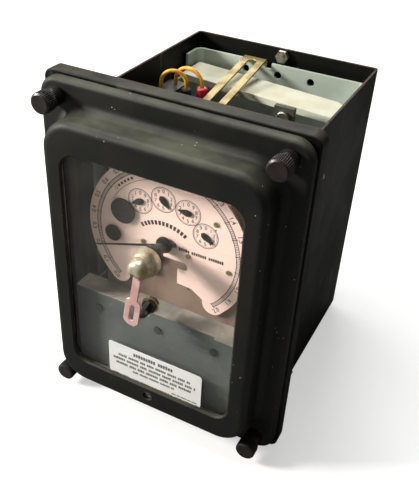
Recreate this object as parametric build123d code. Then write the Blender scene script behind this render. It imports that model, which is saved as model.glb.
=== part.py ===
from build123d import *
import math
import os

os.makedirs("parts", exist_ok=True)

# Semi-flush draw-out demand meter in its steel case.
# Millimetres. X to the right seen from the front, Y towards the back, Z up.
# The origin is the middle of the flange's rear face, which seats on the panel.

# ---- driving dimensions -------------------------------------------------
FLANGE_W = 170.0
FLANGE_H = 230.0
FLANGE_R = 6.0
FLANGE_T = 10.0
FLANGE_OPENING_TOP = 94.4
GASKET_T = 1.0
COVER_W = 168.0
COVER_H = 227.0
COVER_R = 12.0
COVER_RIM_T = 6.0

CASE_HALF_W = 69.6
CASE_TOP = 95.4
CASE_BOTTOM = -109.0
CASE_DEPTH = 154.7
SHEET = 1.5
EARTH_Z = 90.2

BEZEL_W = 140.6
BEZEL_H = 196.0
BEZEL_R = 20.0
BEZEL_FRONT = -36.3
WINDOW_W = 115.0
WINDOW_H = 157.4
WINDOW_R = 10.0

STUD_X = 71.2
STUD_Z = 103.3
STUD_R = 2.5
NUT_R = 6.5
COLLAR_R = 5.8
PANEL_STUD_X = 77.0
PANEL_STUD_Z = 76.2
PANEL_STUD_R = 2.4
PANEL_STUD_LENGTH = 24.0

GLASS_FRONT = -33.8
GLASS_T = 3.0
GLASS_W = 121.4
GLASS_H = 163.8
SCREW_Z = -86.4

AXIS_X = 1.0
AXIS_Z = 26.2
DIAL_FRONT = -15.0
DIAL_R = 54.4
DIAL_T = 1.0
SCALE_R = 47.5
REGISTER_R = 29.4
REGISTER_FIRST = 127.0
REGISTER_STEP = 32.9
REGISTER_LEAF = 6.6

LEDGE_Z = -21.9
PLATE_FRONT = -25.5

CHASSIS_X = 66.4
CHASSIS_T = 2.0
CHASSIS_INNER = CHASSIS_X - CHASSIS_T
CHASSIS_BACK = 147.0
CHASSIS_TOP = 85.7
CHASSIS_BOTTOM = -103.0
SIDE_WALL_TOP = 71.2
BAR_LEFT = -62.5
BAR_SKEW = 14.0
WALL_HOLE_PITCH = 25.4

ROTOR_Y = 66.0
ROTOR_Z = -40.0
ROTOR_R = 40.0
ROTOR_T = 1.2

LEAD_PLACES = [((-57.0, 76.0), (-41.0, 82.0)), ((-53.0, 89.0), (-32.0, 88.0))]
LEAD_PEAK = 91.8

RUN = 0.05
HASP_ANGLE = 8.0


# ---- helpers ------------------------------------------------------------
def block(x0, x1, y0, y1, z0, z1):
    """A box from its low and high corners."""
    size = Box(x1 - x0, y1 - y0, z1 - z0)
    return Pos((x0 + x1) / 2, (y0 + y1) / 2, (z0 + z1) / 2) * size


def forward(sketch, y_back, depth):
    """Push an X-Z sketch from y_back towards the front."""
    plane = Plane(origin=(0, y_back, 0), x_dir=(1, 0, 0), z_dir=(0, -1, 0))
    return extrude(plane * sketch, amount=depth, dir=(0, -1, 0))


def rod_y(x, z, radius, y_front, y_back):
    """A round bar that runs front to back."""
    return forward(Pos(x, z) * Circle(radius), y_back, y_back - y_front)


def rod_z(x, y, radius, z0, z1):
    """An upright round bar."""
    return Pos(x, y, (z0 + z1) / 2) * Cylinder(radius, z1 - z0)


def rod_x(y, z, radius, x0, x1):
    """A round bar that runs left to right."""
    return Pos((x0 + x1) / 2, y, z) * Rot(0, 90, 0) * Cylinder(radius, x1 - x0)


def hex_y(x, z, across_flats, y_front, y_back):
    """A hexagon nut shape that faces the front."""
    outline = RegularPolygon(across_flats / math.sqrt(3), 6)
    return forward(Pos(x, z) * outline, y_back, y_back - y_front)


def around_axis(radius, degrees):
    """A point at a radius and angle round the dial's axis, angle from +X towards +Z."""
    angle = math.radians(degrees)
    return AXIS_X + radius * math.cos(angle), AXIS_Z + radius * math.sin(angle)


def corners(x, z):
    """The four corners of a rectangle centred on the origin."""
    return [(-x, z), (x, z), (-x, -z), (x, -z)]


# ---- case ---------------------------------------------------------------
def case_shell():
    """Folded sheet body, open at the front and at the top."""
    outer = block(-CASE_HALF_W, CASE_HALF_W, 0, CASE_DEPTH, CASE_BOTTOM, CASE_TOP)
    rear_edges = outer.edges().filter_by(Axis.Z).group_by(Axis.Y)[-1]
    outer = fillet(rear_edges, 2.5)
    inner_x = CASE_HALF_W - SHEET
    inner = block(-inner_x, inner_x, -1, CASE_DEPTH - SHEET, CASE_BOTTOM + SHEET, CASE_TOP + 5)
    shell = outer - inner
    shell -= rod_y(0, EARTH_Z, 2.5, CASE_DEPTH - 5, CASE_DEPTH + 5)
    for x in terminal_places():
        shell -= rod_y(x, -81.0, 2.4, CASE_DEPTH - 5, CASE_DEPTH + 5)
    return shell


def case_flange():
    """Frame that seats on the panel and carries the cover."""
    outline = RectangleRounded(FLANGE_W, FLANGE_H, FLANGE_R)
    ring = forward(outline, 0, FLANGE_T)
    front_edges = ring.edges().group_by(Axis.Y)[0]
    ring = fillet(front_edges, 1.0)
    inner_x = CASE_HALF_W - SHEET
    ring -= block(-inner_x, inner_x, -FLANGE_T - 1, 1, CASE_BOTTOM + SHEET, FLANGE_OPENING_TOP)
    for x, z in corners(STUD_X, STUD_Z):
        ring -= rod_y(x, z, STUD_R, -FLANGE_T - 1, -2)
    return ring


def cover_studs():
    """Four studs that the thumb nuts run on."""
    return [chamfer(rod_y(x, z, STUD_R, -28, -2).edges().group_by(Axis.Y)[0], 0.5)
            for x, z in corners(STUD_X, STUD_Z)]


def panel_studs():
    """Four studs welded to the flange's rear face, which go back through the panel."""
    studs = []
    for x, z in corners(PANEL_STUD_X, PANEL_STUD_Z):
        stud = rod_y(x, z, PANEL_STUD_R, 0, PANEL_STUD_LENGTH)
        studs.append(chamfer(stud.edges().group_by(Axis.Y)[-1], 0.5))
    return studs


def earth_stud():
    """Stud and hexagon nut near the top of the rear wall."""
    inside = CASE_DEPTH - SHEET
    stud = rod_y(0, EARTH_Z, 2.5, inside - 6, CASE_DEPTH + 8)
    nut = hex_y(0, EARTH_Z, 8.5, inside - 4, inside)
    outer_nut = hex_y(0, EARTH_Z, 8.5, CASE_DEPTH, CASE_DEPTH + 4)
    return stud + nut + outer_nut


def case_guides():
    """Rails on the side walls that the cradle runs between."""
    inner_x = CASE_HALF_W - SHEET
    right = block(CHASSIS_X + 0.4, inner_x, 14, 140, -30, -22)
    right += block(CHASSIS_X + 0.4, inner_x, 14, 140, 50, 58)
    left = mirror(right, about=Plane.YZ)
    return right.solids() + left.solids()


def terminal_places():
    """Left-to-right places of the eight terminals."""
    return [-42.0 + 12.0 * i for i in range(8)]


def terminal_block():
    """Moulded barrier block on the outside of the rear wall."""
    body = block(-50, 50, CASE_DEPTH, CASE_DEPTH + 10, -97, -65)
    for i in range(9):
        x = -48.0 + 12.0 * i
        body += block(x - 1, x + 1, CASE_DEPTH + 10, CASE_DEPTH + 20, -97, -65)
    for x in terminal_places():
        body -= rod_y(x, -81.0, 2.4, CASE_DEPTH - 1, CASE_DEPTH + 11)
    return body


def contact_base():
    """Moulded block inside the case that holds the fixed contacts."""
    front = CASE_DEPTH - SHEET - 12
    body = block(-50, 50, front, CASE_DEPTH - SHEET, -97, -65)
    for x in terminal_places():
        body -= rod_y(x, -81.0, 2.4, front - 1, CASE_DEPTH)
    return body


def contact_jaws():
    """Eight terminals: a forked jaw in front, a threaded stud and nut behind."""
    front = CASE_DEPTH - SHEET - 12
    jaws = []
    for x in terminal_places():
        jaw = block(x - 2.2, x + 2.2, front - 3, front, -88, -74)
        jaw += block(x - 2.2, x - 0.85, front - 17, front - 3, -87, -75)
        jaw += block(x + 0.85, x + 2.2, front - 17, front - 3, -87, -75)
        jaw += rod_y(x, -81.0, 2.4, front, CASE_DEPTH + 22)
        jaw += hex_y(x, -81.0, 8.0, CASE_DEPTH + 10, CASE_DEPTH + 14)
        jaws.append(jaw)
    return jaws


# ---- cover --------------------------------------------------------------
def cover_gasket():
    """Thin seal between the flange and the cover."""
    ring = forward(RectangleRounded(COVER_W - 2, COVER_H - 2, COVER_R - 1),
                   -FLANGE_T, GASKET_T)
    ring -= forward(RectangleRounded(136.0, 190.0, 8), 0, 20)
    for x, z in corners(STUD_X, STUD_Z):
        ring -= rod_y(x, z, 7.2, -20, 0)
    return ring


def cover_frame():
    """Moulded cover: a flat rim, and a raised frame round the window."""
    back = -FLANGE_T - GASKET_T
    rim = forward(RectangleRounded(COVER_W, COVER_H, COVER_R), back, COVER_RIM_T)
    rim = fillet(rim.edges().group_by(Axis.Y)[0], 2.8)
    face = back - COVER_RIM_T
    bezel = forward(RectangleRounded(BEZEL_W, BEZEL_H, BEZEL_R), face, face - BEZEL_FRONT)
    bezel = fillet(bezel.edges().group_by(Axis.Y)[0], 4.5)
    frame = rim + bezel
    root = [e for e in frame.edges()
            if abs(e.center().Y - face) < 0.01 and abs(e.center().X) < BEZEL_W / 2 + 1
            and abs(e.center().Z) < BEZEL_H / 2 + 1]
    frame = fillet(root, 5.0)
    glass_back = GLASS_FRONT + GLASS_T
    frame -= forward(RectangleRounded(129.0, 176.0, 12), 0, -glass_back)
    frame -= forward(RectangleRounded(GLASS_W + 0.6, GLASS_H + 0.6, 11), 0, -GLASS_FRONT + 0.5)
    frame -= forward(RectangleRounded(WINDOW_W, WINDOW_H, WINDOW_R), 0, 50)
    front_edges = [e for e in frame.edges()
                   if abs(e.center().Y - BEZEL_FRONT) < 0.01
                   and abs(e.center().X) < WINDOW_W / 2 + 0.5
                   and abs(e.center().Z) < WINDOW_H / 2 + 0.5]
    frame = chamfer(front_edges, 1.0)
    for x, z in corners(STUD_X, STUD_Z):
        frame -= rod_y(x, z, 4.0 + RUN, -30, 0)
        frame -= rod_y(x, z, 6.2, back - 2.6, 0)
    frame -= rod_y(0, SCREW_Z, 3.4, BEZEL_FRONT - 1, BEZEL_FRONT + 3.5)
    frame -= rod_y(0, SCREW_Z, 1.5, BEZEL_FRONT, BEZEL_FRONT + 5.2)
    return frame


def cover_screw():
    """Sunk screw in the bottom bar of the cover."""
    head = rod_y(0, SCREW_Z, 3.0, BEZEL_FRONT + 1.6, BEZEL_FRONT + 3.5)
    head = fillet(head.edges().group_by(Axis.Y)[0], 0.8)
    shank = rod_y(0, SCREW_Z, 1.5, BEZEL_FRONT + 3.5, BEZEL_FRONT + 5.2)
    slot = block(-4, 4, BEZEL_FRONT, BEZEL_FRONT + 2.4, SCREW_Z - 0.4, SCREW_Z + 0.4)
    return head + shank - slot


def window_seal():
    """Flat seal between the lip and the glass."""
    ring = forward(RectangleRounded(GLASS_W, GLASS_H, 10.5), GLASS_FRONT, 0.5)
    return ring - forward(RectangleRounded(WINDOW_W + 1, WINDOW_H + 1, WINDOW_R), 0, 50)


def window_glass():
    """Flat pane with holes for the reset bush and the seal post."""
    pane = forward(RectangleRounded(GLASS_W, GLASS_H, 10.5), GLASS_FRONT + GLASS_T, GLASS_T)
    pane -= rod_y(AXIS_X, AXIS_Z, 4.0, -40, 0)
    pane -= rod_y(AXIS_X, post_z(), 2.0, -40, 0)
    return pane


def glass_retainer():
    """Pressed frame that holds the glass against its seal."""
    back = GLASS_FRONT + GLASS_T + 1.2
    ring = forward(RectangleRounded(128.6, 175.6, 12), back, 1.2)
    return ring - forward(RectangleRounded(119.6, 162.0, 10), 0, 50)


def notice_plate():
    """Paper notice stuck on the front of the glass."""
    outline = Pos(3.85, -65.25) * RectangleRounded(69.1, 27.4, 2.0)
    return forward(outline, GLASS_FRONT, 0.15)


def thumb_nut(x, z):
    """Knurled nut, held captive in the rim by its spun-over end."""
    face = -FLANGE_T - GASKET_T - COVER_RIM_T
    collar = rod_y(x, z, COLLAR_R, face - 8.0, face - 0.1)
    collar = fillet(collar.edges().group_by(Axis.Y)[-1], 0.8)
    head = rod_y(x, z, NUT_R, face - 16.0, face - 8.0)
    head = chamfer(head.edges().group_by(Axis.Y)[-1], 0.4)
    head = fillet(head.edges().group_by(Axis.Y)[0], 2.2)
    spigot = rod_y(x, z, 4.0, face - 0.1, face + 3.7)
    lip = rod_y(x, z, 5.6, face + 3.7, face + 4.9)
    nut = collar + head + spigot + lip
    return nut - rod_y(x, z, STUD_R + RUN, -29, 0)


def post_z():
    """Height of the seal post under the reset knob."""
    return AXIS_Z - 35.0


def reset_bush():
    """Flanged brass bush through the glass."""
    flange = rod_y(AXIS_X, AXIS_Z, 6.0, GLASS_FRONT - 0.8, GLASS_FRONT)
    barrel = rod_y(AXIS_X, AXIS_Z, 4.0, GLASS_FRONT, GLASS_FRONT + 5.5)
    bore = rod_y(AXIS_X, AXIS_Z, 2.4 + RUN, -50, 0)
    return flange + barrel - bore


def glass_nuts():
    """Hexagon nuts inside the glass, on the bush and on the seal post."""
    inside = GLASS_FRONT + GLASS_T
    bush_nut = hex_y(AXIS_X, AXIS_Z, 12.0, inside, inside + 2.5)
    bush_nut -= rod_y(AXIS_X, AXIS_Z, 4.0, -50, 0)
    post_nut = hex_y(AXIS_X, post_z(), 7.0, inside, inside + 2.0)
    post_nut -= rod_y(AXIS_X, post_z(), 2.0, -50, 0)
    return [bush_nut, post_nut]


def seal_post():
    """Black post on the glass with a flat drilled tongue for the seal wire."""
    z = post_z()
    base = rod_y(AXIS_X, z, 4.6, GLASS_FRONT - 2.4, GLASS_FRONT - 0.5)
    stem = rod_y(AXIS_X, z, 2.0, GLASS_FRONT - 0.5, GLASS_FRONT + 5.0)
    tip = -45.4
    root = GLASS_FRONT - 2.0
    side = Plane(origin=(AXIS_X, 0, 0), x_dir=(0, 1, 0), z_dir=(1, 0, 0))
    outline = Polygon((root, z + 4.3), (root, z - 4.3), (tip + 3, z - 3.6), (tip, z - 1.6),
                      (tip, z + 0.4), (tip + 4, z + 2.8), align=None)
    tongue = extrude(side * outline, amount=1.25, both=True)
    post = base + stem + tongue
    return post - rod_x(-41.0, z - 0.4, 1.9, AXIS_X - 3, AXIS_X + 3)


def seal_post_washer():
    """Brass washer under the post."""
    ring = rod_y(AXIS_X, post_z(), 5.6, GLASS_FRONT - 0.5, GLASS_FRONT)
    return ring - rod_y(AXIS_X, post_z(), 2.0, -40, 0)


# ---- reset knob ---------------------------------------------------------
def turned(shape):
    """Swing a part of the reset knob to where it rests."""
    centre = Pos(AXIS_X, 0, AXIS_Z)
    return centre * Rot(0, HASP_ANGLE, 0) * Pos(-AXIS_X, 0, -AXIS_Z) * shape


def reset_knob():
    """Bell-shaped knob with a slotted nose for the hasp."""
    back = GLASS_FRONT - 0.95
    profile = Polyline((0, back), (7.4, back), (8.1, back - 1.6), (8.1, back - 6.4),
                       (7.7, back - 8.4), (6.9, back - 9.6), (6.6, back - 10.0),
                       (6.8, back - 10.5), (6.5, back - 14.0), (5.0, back - 16.0),
                       (0, back - 16.6), (0, back))
    body = revolve(make_face(profile), Axis.Y)
    body = Pos(AXIS_X, 0, AXIS_Z) * body
    slot = block(AXIS_X - 2.7, AXIS_X + 2.7, -55, -45.2, AXIS_Z - 9, AXIS_Z - 1.2)
    pin_hole = rod_x(-47.0, AXIS_Z - 3.0, 0.8, AXIS_X - 9, AXIS_X + 9)
    return turned(body - slot - pin_hole)


def reset_shaft():
    """Shaft through the bush with the arm that carries the pointer back."""
    back = GLASS_FRONT - 0.95
    shaft = rod_y(AXIS_X, AXIS_Z, 2.4, back, -21.2)
    arm = block(AXIS_X - 1.6, AXIS_X + 1.6, -22.6, -21.2, AXIS_Z - 12, AXIS_Z)
    hub = rod_y(AXIS_X, AXIS_Z, 3.6, -24.0, -21.2)
    return turned(shaft + arm + hub)


def hasp_pin():
    """Cross pin in the knob's nose."""
    return turned(rod_x(-47.0, AXIS_Z - 3.0, 0.8, AXIS_X - 5.0, AXIS_X + 5.0))


def hasp():
    """Flat copper-coloured hasp with a long slot near its round end."""
    z = AXIS_Z
    arm = Pos(AXIS_X, z - 13.5) * Rectangle(4.8, 21.0)
    eye = Pos(AXIS_X, z - 33.0) * RectangleRounded(10.4, 19.0, 3.0)
    end = Pos(AXIS_X, z - 38.5) * Circle(5.2)
    slot = Pos(AXIS_X, z - 33.5) * SlotOverall(12.5, 3.1, rotation=90)
    plate = forward(arm + eye + end - slot, -46.4, 1.2)
    plate += rod_x(-47.0, z - 3.0, 1.6, AXIS_X - 2.4, AXIS_X + 2.4)
    plate -= rod_x(-47.0, z - 3.0, 0.8 + RUN, AXIS_X - 4, AXIS_X + 4)
    return turned(plate)


# ---- dial and register --------------------------------------------------
def dial_plate():
    """Round dial with its lower middle cut away between the scale's ends."""
    disc = Pos(AXIS_X, AXIS_Z) * Circle(DIAL_R)
    cut = Pos(AXIS_X, AXIS_Z) * Polygon((-60, -60), (60, -60), (41.0, -39.0), (26.5, -33.0),
                                        (18.0, -27.5), (8.2, -26.8), (8.2, -16.0), (-8.2, -16.0),
                                        (-8.2, -26.8), (-18.0, -27.5), (-26.5, -33.0),
                                        (-41.0, -39.0), align=None)
    tongue_slot = Pos(AXIS_X + 5.0, AXIS_Z - 13.2) * SlotOverall(20.0, 6.0)
    lobes = [Pos(*around_axis(SCALE_R, a)) * Circle(7.1) for a in (-46.0, 226.0)]
    outline = disc - cut + lobes[0] + lobes[1] - tongue_slot
    plate = forward(outline, DIAL_FRONT + DIAL_T, DIAL_T)
    for x, z in register_places():
        plate -= rod_y(x, z, 1.4, -30, 0)
    plate -= rod_y(AXIS_X, AXIS_Z, 1.6, -30, 0)
    for x, z in disc_places():
        plate -= rod_y(x, z, 1.2, -30, 0)
    for x, z in dial_screw_places():
        plate -= rod_y(x, z, 0.9, -30, 0)
    return plate


def register_places():
    """Centres of the four register dials."""
    return [around_axis(REGISTER_R, REGISTER_FIRST - REGISTER_STEP * i) for i in range(4)]


def disc_places():
    """Centres of the large and the small test disc."""
    return [around_axis(32.1, 154.6), around_axis(36.7, 186.7)]


def dial_screw_places():
    """Screws that hold the dial to its posts."""
    return [(AXIS_X - 15.4, AXIS_Z - 4.0), (AXIS_X + 15.4, AXIS_Z - 4.0),
            (AXIS_X + 32.3, AXIS_Z + 24.1), (AXIS_X + 42.1, AXIS_Z - 5.8)]


def dial_screws():
    """Round-headed brass screws."""
    screws = []
    for x, z in dial_screw_places():
        head = rod_y(x, z, 1.7, DIAL_FRONT - 0.6, DIAL_FRONT)
        screws.append(head + rod_y(x, z, 0.9, DIAL_FRONT, DIAL_FRONT + DIAL_T))
    return screws


def register_frame():
    """Front and rear plates with four pillars, and the spacers that carry the dial."""
    front = block(-44, 46, -7.0, -5.5, 17.0, 60)
    rear = block(-44, 46, 12.0, 13.5, 17.0, 60)
    frame = front + rear
    for x in (-40, 42):
        for z in (22.0, 56.0):
            frame += rod_y(x, z, 2.0, -5.5, 20.0)
    for x, z in dial_screw_places():
        frame += rod_y(x, z, 2.0, DIAL_FRONT + DIAL_T, -7.0)
    for x, z in register_places() + disc_places():
        frame -= rod_y(x, z, 0.8 + RUN, -13, 30)
    return frame - rod_y(AXIS_X, AXIS_Z, 1.2 + RUN, -13, 30)


def gear_level(index):
    """Front of the wheel that the shaft's own pinion is driven through."""
    return (3.5, 0.0, -3.5, -3.5)[index]


def register_pointer(index):
    """Leaf pointer with its hub, shaft, wheel and pinion."""
    x, z = register_places()[index]
    angle = (205.0, -48.0, 176.0, -35.0)[index]
    leaf_back = DIAL_FRONT - 0.4
    leaf = Polygon((-3.0, 0), (-1.8, 1.8), (0.8, 2.2), (3.0, 1.5), (REGISTER_LEAF, 0),
                   (3.0, -1.5), (0.8, -2.2), (-1.8, -1.8), align=None)
    pointer = forward(Pos(x, z) * Rot(0, 0, angle) * leaf, leaf_back, 0.5)
    pointer += rod_y(x, z, 1.2, leaf_back - 1.0, leaf_back)
    pointer += rod_y(x, z, 0.8, leaf_back, 13.4)
    spacing = 2 * REGISTER_R * math.sin(math.radians(REGISTER_STEP / 2))
    pinion_r = 1.5
    if index < 3:
        level = gear_level(index)
        pointer += rod_y(x, z, spacing - pinion_r - 0.1, level, level + 1.2)
    if index > 0:
        level = gear_level(index - 1)
        pointer += rod_y(x, z, pinion_r, level - 0.5, level + 1.7)
    return pointer


def test_disc(index, radius, shaft_end):
    """Black disc in front of the dial on its own shaft."""
    x, z = disc_places()[index]
    disc = rod_y(x, z, radius, DIAL_FRONT - 2.0, DIAL_FRONT - 1.3)
    disc += rod_y(x, z, 1.0, DIAL_FRONT - 2.2, DIAL_FRONT - 2.0)
    return disc + rod_y(x, z, 0.8, DIAL_FRONT - 1.3, shaft_end)


def demand_pointer():
    """Long thin maximum pointer on a round hub."""
    front = DIAL_FRONT - 3.6
    hub = rod_y(AXIS_X, AXIS_Z, 5.2, front + 0.6, front + 2.2)
    hub += rod_y(AXIS_X, AXIS_Z, 3.4, front, front + 0.6)
    needle = Polygon((0, 0.9), (52.0, 0.35), (52.0, -0.35), (0, -0.9), align=None)
    tail = Polygon((0, 1.6), (-9.0, 1.2), (-9.0, -1.2), (0, -1.6), align=None)
    centre = Pos(AXIS_X, AXIS_Z) * Rot(0, 0, 198.3)
    pointer = hub + forward(centre * (needle + tail), front + 1.1, 0.5)
    pointer += rod_y(AXIS_X, AXIS_Z, 1.4, front - 0.6, front)
    return pointer + rod_y(AXIS_X, AXIS_Z, 1.2, front + 2.2, 13.4)


# ---- cradle -------------------------------------------------------------
def cradle_chassis():
    """Sheet cradle: floor on two ribs, two side walls and a rear wall."""
    body = block(-CHASSIS_X, CHASSIS_X, 8, CHASSIS_BACK, CHASSIS_BOTTOM, CHASSIS_TOP)
    rear_edges = body.edges().filter_by(Axis.Z).group_by(Axis.Y)[-1]
    body = fillet(rear_edges, 6.0)
    inside = CHASSIS_BACK - CHASSIS_T
    hollow = block(-CHASSIS_INNER, CHASSIS_INNER, 0, inside, CHASSIS_BOTTOM + CHASSIS_T, 120)
    hollow = fillet(hollow.edges().filter_by(Axis.Z).group_by(Axis.Y)[-1], 4.0)
    body -= hollow
    body -= block(-80, 80, 0, 128, SIDE_WALL_TOP, 120)
    body -= block(-54, 54, 120, 160, -110, -58)
    for i in (-1, 0, 1):
        body -= rod_y(WALL_HOLE_PITCH * i, 78.2, 2.8, 140, 160)
    body -= block(-9.7, -5.2, 140, 160, 81.5, 90)
    for x in (-45, 45):
        body += block(x - 5, x + 5, 12, 140, CASE_BOTTOM + SHEET + 0.2, CHASSIS_BOTTOM)
    body += block(56, CHASSIS_INNER, 104, 120, SIDE_WALL_TOP - 1.5, SIDE_WALL_TOP)
    body += block(-CHASSIS_INNER, -56, 118, 127, SIDE_WALL_TOP - 1.5, SIDE_WALL_TOP)
    return body


def front_plate():
    """Grey plate across the lower half, folded back along its top as a ledge."""
    top = LEDGE_Z
    plate = block(-59.6, 59.6, PLATE_FRONT, PLATE_FRONT + 1.5, -85, top)
    plate += block(-59.6, 59.6, PLATE_FRONT, -11.0, top - 1.5, top)
    plate += block(42, 59.6, PLATE_FRONT - 2.2, PLATE_FRONT, top - 1.5, top)
    plate += block(58.1, 59.6, PLATE_FRONT, 24, -85, top - 10)
    plate += block(58.1, CHASSIS_INNER, 22.5, 24, -85, top - 10)
    plate += block(-59.6, -58.1, PLATE_FRONT, 24, -85, top - 10)
    plate += block(-CHASSIS_INNER, -58.1, 22.5, 24, -85, top - 10)
    for x in plate_screw_places():
        plate -= rod_y(x, -34.2, 1.5, -40, -20)
    return plate


def plate_screw_places():
    """Left-to-right places of the screws in the front plate."""
    return [-42.0, 2.0, 42.0]


def plate_screws():
    """Low dark screws in the front plate."""
    screws = []
    for x in plate_screw_places():
        head = rod_y(x, -34.2, 2.8, PLATE_FRONT - 0.8, PLATE_FRONT)
        screws.append(head + rod_y(x, -34.2, 1.5, PLATE_FRONT, PLATE_FRONT + 5))
    return screws


def name_plate():
    """Copper-tinted plate behind the dial's cut-away."""
    plate = block(-44, 56, -11.8, -11.0, LEDGE_Z, 16.5)
    for x, z in ((14.5, 5.0), (14.5, -5.0)):
        plate -= rod_y(x + AXIS_X, z, 0.9, -20, 0)
    return plate


def cross_bar():
    """White insulating bar that lies a little askew across the top of the cradle."""
    outline = Polygon((60.0, 100.5), (60.0, 122.5), (52.5, 128.5), (BAR_LEFT, 128.5 + BAR_SKEW),
                      (BAR_LEFT, 100.5 + BAR_SKEW), align=None)
    return Pos(0, 0, SIDE_WALL_TOP) * extrude(outline, amount=5.0)


def slotted_strap():
    """Brass strap with one long slot, from the meter frame up to the rear wall."""
    start = Vector(-18.75, 20.0, 65.2)
    end = Vector(-18.75, 147.0, 86.0)
    along = (end - start).normalized()
    length = (end - start).length
    across = Vector(1, 0, 0)
    plane = Plane(origin=start, x_dir=across, z_dir=across.cross(along))
    outline = Pos(0, length / 2) * Rectangle(17.5, length)
    slot = Pos(0, length / 2 + 2.5) * SlotOverall(length - 13, 6.4, rotation=90)
    return extrude(plane * (outline - slot), amount=1.5)


def meter_frame():
    """Cast frame: register plate, upper bearing arm, lead shelf and adjuster arm."""
    frame = block(-60.8, 60.8, 20.0, 24.0, 0, 64)
    frame -= block(-30, -8, 19, 25, 26, 54)
    frame -= block(8, 20, 19, 25, 8, 20)
    frame += block(-CHASSIS_INNER, -60.8, 20, 40, 0, 64)
    frame += block(60.8, CHASSIS_INNER, 20, 40, 0, 64)
    frame += block(-7, 7, 24, ROTOR_Y + 8, 2, 12)
    frame -= rod_z(0, ROTOR_Y, 1.5 + RUN, -10, 7)
    frame += block(-27.5, -10, 20, 24, 64, 65.2)
    frame += block(-CHASSIS_INNER, -27.8, 24, 93, 48, 50)
    frame += block(22, 36, 24, 90, 56, 60)
    frame += block(22, 36, 86, 90, 60, 82)
    return frame - rod_y(29, 75.5, 2.0, 80, 95)


def rotor():
    """Aluminium disc on its spindle, with the worm near the top."""
    disc = rod_z(0, ROTOR_Y, ROTOR_R, ROTOR_Z - ROTOR_T / 2, ROTOR_Z + ROTOR_T / 2)
    hub = rod_z(0, ROTOR_Y, 4.0, ROTOR_Z - 4, ROTOR_Z + 4)
    spindle = rod_z(0, ROTOR_Y, 1.5, -78.9, 6.0)
    worm = rod_z(0, ROTOR_Y, 2.6, -14, -4)
    return disc + hub + spindle + worm


def brake_magnet():
    """Damping magnet with the disc running in its gap."""
    body = block(-14, 14, 20, 46, -60, -20)
    body -= block(-20, 20, 24.5, 50, ROTOR_Z - 2.5, ROTOR_Z + 2.5)
    leg = block(-14, 14, 20, 24.5, -101, -60)
    return body + leg


def coil_support():
    """Bracket on the cradle floor with the lower bearing and both electromagnets on it."""
    bracket = block(-34, 34, 82, 112, -84, -80)
    bracket += block(-34, -30, 82, 112, -101, -84)
    bracket += block(30, 34, 82, 112, -101, -84)
    bracket += block(-34, 34, 109, 112, -80, 2)
    bracket += block(-8, 8, 58, 82, -101, -84)
    bracket += block(-8, 8, 80, 82, -84, -80)
    bracket += rod_z(0, ROTOR_Y, 5.0, -84, -74)
    return bracket - rod_z(0, ROTOR_Y, 1.5 + RUN, -79, -70)


def potential_core():
    """Laminated core above the disc."""
    core = block(-8, 8, 86, 98, -37.5, -2)
    return core + block(-26, 26, 86, 98, -2, 6)


def potential_coil():
    """Taped voltage coil."""
    coil = block(-20, 20, 77, 109, -34, -6)
    coil = fillet(coil.edges().filter_by(Axis.Z), 5.0)
    return coil - block(-8, 8, 86, 98, -40, 0)


def current_core():
    """Laminated core below the disc."""
    core = block(-24, 24, 86, 98, -80, -73)
    core += block(-24, -15, 86, 98, -73, -42.5)
    return core + block(15, 24, 86, 98, -73, -42.5)


def current_coils():
    """Two heavy copper coils."""
    coils = []
    for x in (-19.5, 19.5):
        coil = block(x - 8.5, x + 8.5, 82, 102, -71, -48)
        coil = fillet(coil.edges().filter_by(Axis.Z), 3.0)
        coils.append(coil - block(x - 4.5, x + 4.5, 86, 98, -80, -40))
    return coils


def contact_blades():
    """Eight blades that plug into the case's jaws."""
    front = CASE_DEPTH - SHEET - 12
    return [block(x - 0.8, x + 0.8, front - 20, front - 4, -86, -76) for x in terminal_places()]


def blade_carrier():
    """Moulded bar that holds the blades."""
    front = CASE_DEPTH - SHEET - 32
    return block(-50, 50, front - 6, front, -101, -62)


def interval_motor():
    """Small motor that times the demand interval."""
    can = rod_y(30, 28, 15.0, 24, 46)
    can = fillet(can.edges().group_by(Axis.Y)[-1], 2.5)
    return can + rod_y(30, 28, 5.0, 46, 49)


def lead_block():
    """Black moulded block that the leads come from."""
    body = block(-59.6, -46.5, 68, 93, 50, 79)
    body = fillet(body.edges().filter_by(Axis.Z), 1.5)
    for (x, y), end in LEAD_PLACES:
        body -= rod_z(x, y, 1.5, 70, 90)
    return body


def boot(place, radius, top):
    """Soft cap over a terminal."""
    x, y = place
    body = rod_z(x, y, radius, 50, top)
    body = fillet(body.edges().group_by(Axis.Z)[-1], radius * 0.45)
    return body - rod_z(x, y, 1.5, top - 5, top + 1)


def leads():
    """Two round leads that rise from the block and bend over into the boots."""
    wires = []
    for start, end in LEAD_PLACES:
        points = [(*start, 70.5), (*start, LEAD_PEAK), (*end, LEAD_PEAK), (*end, 76.5)]
        path = FilletPolyline(*points, radius=math.dist(start, end) / 2 - 0.3)
        section = Plane(origin=points[0], z_dir=(0, 0, 1)) * Circle(1.4)
        wires.append(sweep(section, path=path))
    return wires


def adjuster_screw():
    """Large slotted screw, seen through the open top."""
    head = rod_y(29, 75.5, 4.2, 82.5, 86)
    head = fillet(head.edges().group_by(Axis.Y)[0], 0.7)
    screw = head + rod_y(29, 75.5, 2.0, 86, 96)
    slot = Pos(29, 82.5, 75.5) * Rot(0, 35, 0) * Box(10, 2.4, 1.1)
    return screw - slot


# ---- output -------------------------------------------------------------
def save(name, shape):
    """Write one named piece, or several alike pieces under one name."""
    solids = []
    for item in shape if isinstance(shape, (list, tuple)) else [shape]:
        solids += list(item.solids())
    part = solids[0] if len(solids) == 1 else Compound(children=solids)
    part.label = name
    export_step(part, "parts/" + name + ".step")
    print(name, len(solids), round(sum(s.volume for s in solids), 1))


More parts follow.
